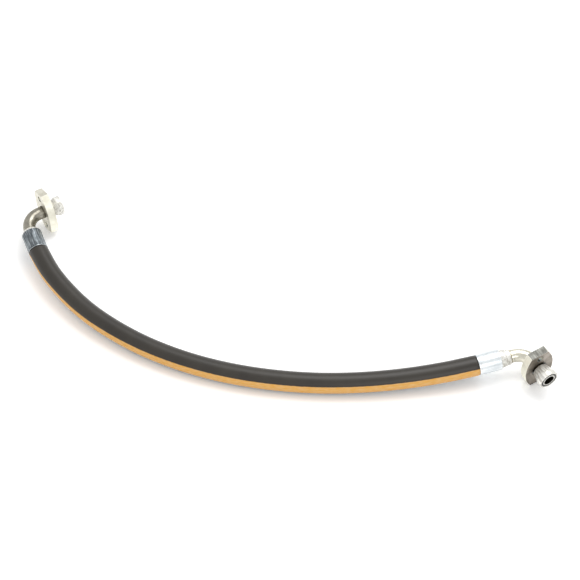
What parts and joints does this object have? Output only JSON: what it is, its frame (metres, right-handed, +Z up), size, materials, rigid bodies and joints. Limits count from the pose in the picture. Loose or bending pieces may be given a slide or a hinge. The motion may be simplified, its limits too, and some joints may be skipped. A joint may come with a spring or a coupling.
{
  "type": "hydraulic hose assembly",
  "caption": "Bowed rubber hydraulic hose with crimped ferrules, bent tubes, face-seal heads and loose oval clamp plates at its ends.",
  "frame": {"origin": "middle of the rectangle round the end fittings, on the plane that the assembly lies on; the hose is left out, as the part that could lie otherwise", "axes": "+X from the left fitting to the right one, +Y away from the hose's bow, +Z up"},
  "size_m": [0.7832, 0.2132, 0.0657],
  "materials": {
    "cover_rubber": "smooth satin black rubber with an orange-yellow stripe along the hose",
    "inner_rubber": "matte black rubber",
    "braid_wire": "braided brass-coated steel wire",
    "ferrule_steel": "bluish zinc plating with lengthwise crimp marks",
    "fitting_steel": "bright plated steel, smooth",
    "plate_steel": "plated steel plate, lightly ground",
    "braze": "plated braze fillet",
    "seal_rubber": "black nitrile, semi-gloss"
  },
  "bodies": {
    "hose": {"hose_liner": "inner_rubber", "inner_wire_braid": "braid_wire", "braid_separator": "inner_rubber", "outer_wire_braid": "braid_wire", "hose_cover": "cover_rubber", "left_ferrule": "ferrule_steel", "left_hose_insert": "fitting_steel", "left_insert_braze": "braze", "left_elbow_tube": "fitting_steel", "left_head_braze": "braze", "left_flange_head": "fitting_steel", "left_o_ring": "seal_rubber", "right_ferrule": "ferrule_steel", "right_hose_insert": "fitting_steel", "right_insert_braze": "braze", "right_elbow_tube": "fitting_steel", "right_head_braze": "braze", "right_flange_head": "fitting_steel", "right_o_ring": "seal_rubber"},
    "left_clamp": {"left_clamp_plate": "plate_steel"},
    "right_clamp": {"right_clamp_plate": "plate_steel"}
  },
  "joints": [
    {"name": "left_clamp_turn", "type": "hinge", "parent": "hose", "child": "left_clamp", "pos_m": [-0.36929, 0.02658, 0.03293], "axis": [0.6398, 0.7679, -0.0326], "continuous": true},
    {"name": "right_clamp_turn", "type": "hinge", "parent": "hose", "child": "right_clamp", "pos_m": [0.36188, -0.01321, 0.03112], "axis": [0.7423, -0.6697, 0.0226], "continuous": true}
  ]
}
